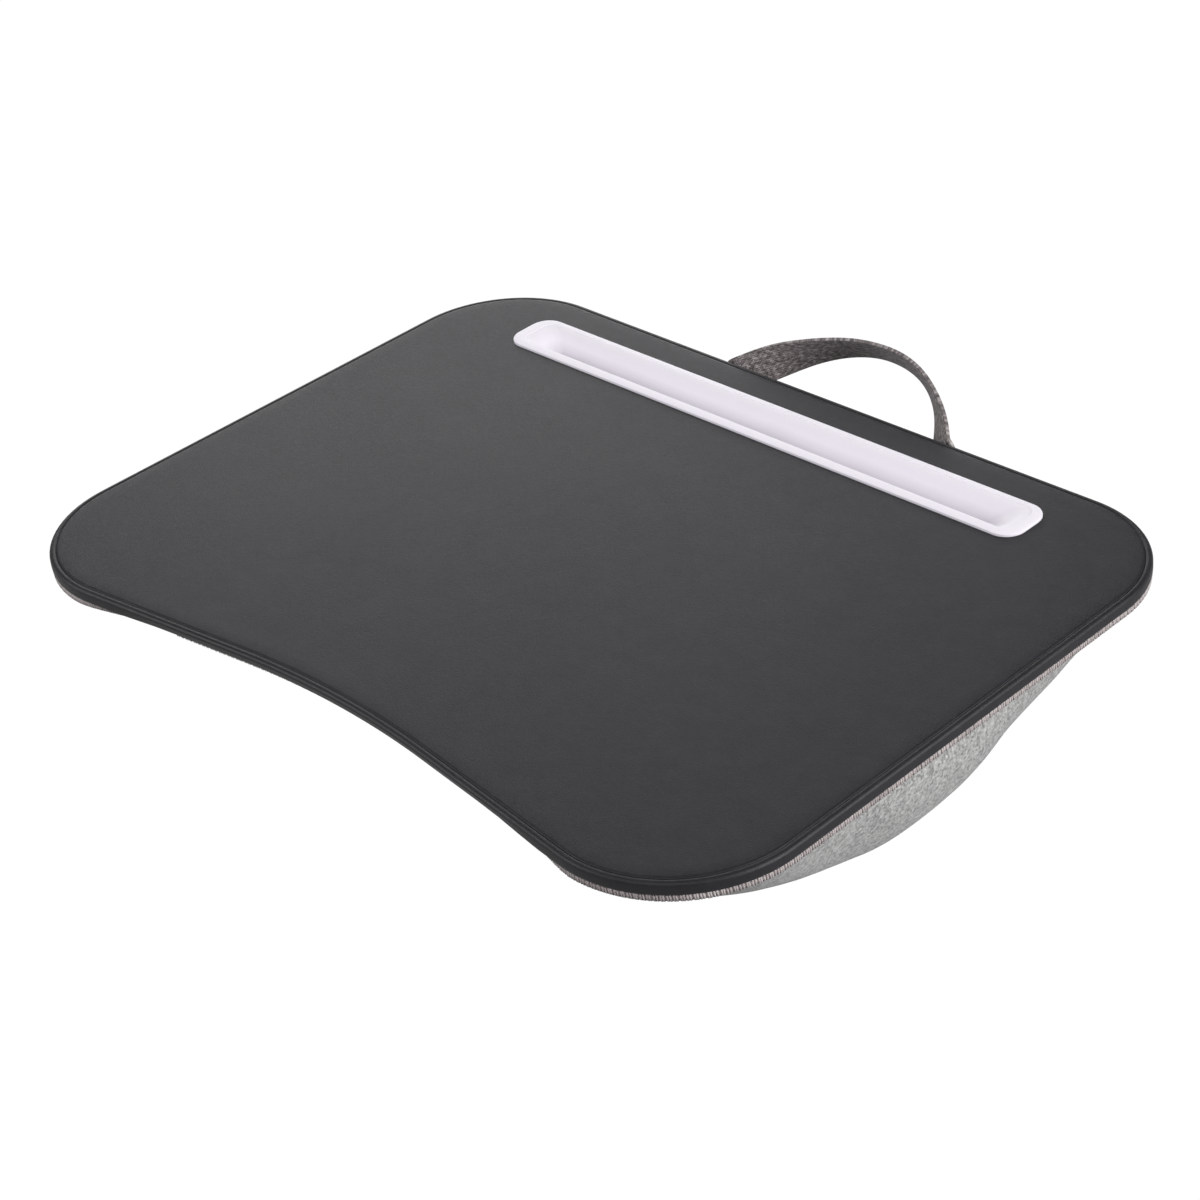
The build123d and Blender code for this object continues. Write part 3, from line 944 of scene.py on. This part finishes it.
def strapPoint(share):  # centre of the loop at a share of its half span, with the ways along and across
    tilt = radians(strap["tilt"])
    outward, upward = Vector((0, cos(tilt), sin(tilt))), Vector((0, -sin(tilt), cos(tilt)))
    root = deckMiddle + Vector((strap["middleX"], strap["rootY"], strap["level"]))
    side = "left" if share < 0 else "right"
    span, fullness = strap[side + "Span"], strap[side + "Fullness"]
    out = strap["out"] * (1 - abs(share) ** fullness)
    fall = copysign(strap["out"] * fullness * abs(share) ** (fullness - 1), share)
    along = (Vector((span, 0, 0)) - outward * fall).normalized()
    inward = along.cross(upward)
    twist = strapTwist(share)
    across = inward * cos(twist) - upward * sin(twist)
    return root + Vector((span * share, 0, 0)) + outward * out, along, across


def makeStrap():
    samples = strap["samples"]
    shares = [-1 + 2 * step / samples for step in range(samples + 1)]
    centres = [strapPoint(share)[0] for share in shares]
    lengths = [0.0]
    for first, second in zip(centres, centres[1:]):
        lengths.append(lengths[-1] + (second - first).length)
    half = lengths[-1] / 2
    total = half + strap["endLength"]

    def frameAt(distance):  # distance along the band from its middle
        place = max(min(distance, half), -half) + half
        index = next((i for i, length in enumerate(lengths) if length > place), samples)
        low, high = lengths[index - 1], lengths[index]
        before, after = shares[index - 1], shares[index]
        centre, along, across = strapPoint(before + (after - before) * (place - low) / (high - low))
        beyond = abs(distance) - half
        if beyond > 0:
            level = Vector((along.x, along.y, 0)).normalized() * (1 if distance > 0 else -1)
            centre = centre + level * beyond
        flat = Vector((across.x, across.y, 0)).normalized()  # the band lies flat under the board
        flatShare = smoothShare(beyond, strap["letGoFrom"], strap["letGoTo"])
        across = across.lerp(flat, flatShare).normalized()
        return centre, across

    bm = bmesh.new()
    uv = bm.loops.layers.uv.new("UVMap")
    bmesh.ops.create_grid(bm, x_segments=strap["stepsAlong"], y_segments=strap["stepsAcross"], size=1.0)
    for vert in bm.verts:
        vert.co = Vector((vert.co.x * total, vert.co.y * strap["width"] / 2, 0))
    for face in bm.faces:
        for corner in face.loops:
            corner[uv].uv = (corner.vert.co.x + total, corner.vert.co.y + strap["width"])
    frames = {}
    for vert in bm.verts:
        distance, offset = round(vert.co.x, 7), vert.co.y
        if distance not in frames:
            frames[distance] = frameAt(distance)
        centre, across = frames[distance]
        vert.co = centre + across * offset
    bmesh.ops.recalc_face_normals(bm, faces=bm.faces)
    piece = makePiece(bm, "strapBand", strapWebbing, rides=False)
    thick = piece.modifiers.new("thick", "SOLIDIFY")
    thick.thickness, thick.offset, thick.use_even_offset = strap["thickness"], 0, True
    edge = piece.modifiers.new("edge", "BEVEL")
    edge.width, edge.segments = strap["edgeRound"], 2
    edge.limit_method, edge.angle_limit = "ANGLE", radians(strap["edgeAngle"])
    applyModifiers(piece)
    smoothFaces(piece)
    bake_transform(piece)
    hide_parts("handle_strap", "strap_ends")
    return piece


strapBand = makeStrap()
print("strap: faces", len(strapBand.data.polygons))


# floor, light and camera
studioFloor = {
    "size": 6.0, "under": 0.0002, "grey": 0.22, "glow": 1.06,  # it lies just under the cushion
    "cameraShare": 0.95, "glossyShare": 0.4,  # how much of the glow the camera and reflections see
}


def makeFloor():
    finish = Finish("paleFloor")
    camera = finish.add("ShaderNodeLightPath", out="Is Camera Ray")
    glossy = finish.add("ShaderNodeLightPath", out="Is Glossy Ray")
    seen = camera * studioFloor["cameraShare"] + glossy * studioFloor["glossyShare"]
    shade = (studioFloor["grey"],) * 3
    plain = finish.add("ShaderNodeBsdfDiffuse", {}, {"Color": (*shade, 1)})
    bright = finish.add("ShaderNodeEmission", {}, {"Color": (1, 1, 1, 1), "Strength": studioFloor["glow"]})
    mixed = finish.add("ShaderNodeMixShader", {}, {0: seen, 1: plain, 2: bright})
    finish.tree.links.new(mixed.socket, finish.output.inputs["Surface"])
    bm = bmesh.new()
    bmesh.ops.create_grid(bm, x_segments=1, y_segments=1, size=studioFloor["size"])
    mesh = bpy.data.meshes.new("floor")
    bm.to_mesh(mesh)
    bm.free()
    floor = bpy.data.objects.new("floor", mesh)
    floor.location.z = -studioFloor["under"]
    mesh.materials.append(finish.material)
    scene.collection.objects.link(floor)


lampTarget = (0, 0, 0.03)
lamps = {
    "backSoftbox": {"place": (-1.4, 1.14, 0.54), "width": 1.45, "height": 0.95, "energy": 9.6},
    "sideFill": {"place": (1.7, 0.5, 0.75), "width": 1.2, "height": 1.2, "energy": 31},
    "topSoftbox": {"place": (0.6, -1.2, 1.8), "width": 1.4, "height": 1.4, "energy": 10.5},
    "frontFill": {"place": (-1.3, -1.4, 1.0), "width": 1.0, "height": 1.0, "energy": 15},
}


def addLamp(name, place, width, height, energy):
    data = bpy.data.lights.new(name, "AREA")
    data.shape, data.size, data.size_y, data.energy = "RECTANGLE", width, height, energy
    lamp = bpy.data.objects.new(name, data)
    lamp.location = place
    lamp.rotation_mode = "QUATERNION"
    lamp.rotation_quaternion = (Vector(lampTarget) - Vector(place)).to_track_quat("-Z", "Y")
    scene.collection.objects.link(lamp)


surroundings = {"onObject": 0.24, "pastFloor": 1.0}


def makeWorld():  # white where the camera looks past the floor, and soft on the object
    world = bpy.data.worlds.new("studio")
    world.use_nodes = True
    tree = world.node_tree
    background = tree.nodes["Background"]
    background.inputs["Color"].default_value = (1, 1, 1, 1)
    rays = tree.nodes.new("ShaderNodeLightPath")
    strength = tree.nodes.new("ShaderNodeMapRange")
    strength.inputs["To Min"].default_value = surroundings["onObject"]
    strength.inputs["To Max"].default_value = surroundings["pastFloor"]
    tree.links.new(rays.outputs["Is Camera Ray"], strength.inputs["Value"])
    tree.links.new(strength.outputs[0], background.inputs["Strength"])
    scene.world = world


cameraView = {
    "azimuth": 48.07, "elevation": 33.01, "roll": -6.17, "fromDeck": (0.7798, -0.6924, 0.6462),
    "lens": 84.07, "sensor": 36, "nearest": 0.02, "farthest": 60,
}


def makeCamera():
    data = bpy.data.cameras.new("photoCamera")
    data.lens, data.sensor_width = cameraView["lens"], cameraView["sensor"]
    data.clip_start, data.clip_end = cameraView["nearest"], cameraView["farthest"]
    camera = bpy.data.objects.new("photoCamera", data)
    azimuth, elevation, roll = (radians(cameraView[key]) for key in ("azimuth", "elevation", "roll"))
    back = Vector((sin(azimuth) * cos(elevation), -cos(azimuth) * cos(elevation), sin(elevation)))
    level = Vector((cos(azimuth), sin(azimuth), 0))
    up = back.cross(level)
    right, top = level * cos(roll) + up * sin(roll), up * cos(roll) - level * sin(roll)
    camera.rotation_mode = "QUATERNION"
    camera.rotation_quaternion = Matrix((right, top, back)).transposed().to_quaternion()
    camera.location = deckMiddle + Vector(cameraView["fromDeck"])
    scene.collection.objects.link(camera)
    scene.camera = camera


makeFloor()
makeWorld()
for name, lamp in lamps.items():
    addLamp(name, **lamp)
makeCamera()
scene.view_settings.view_transform = "Standard"
print("stage: ready")
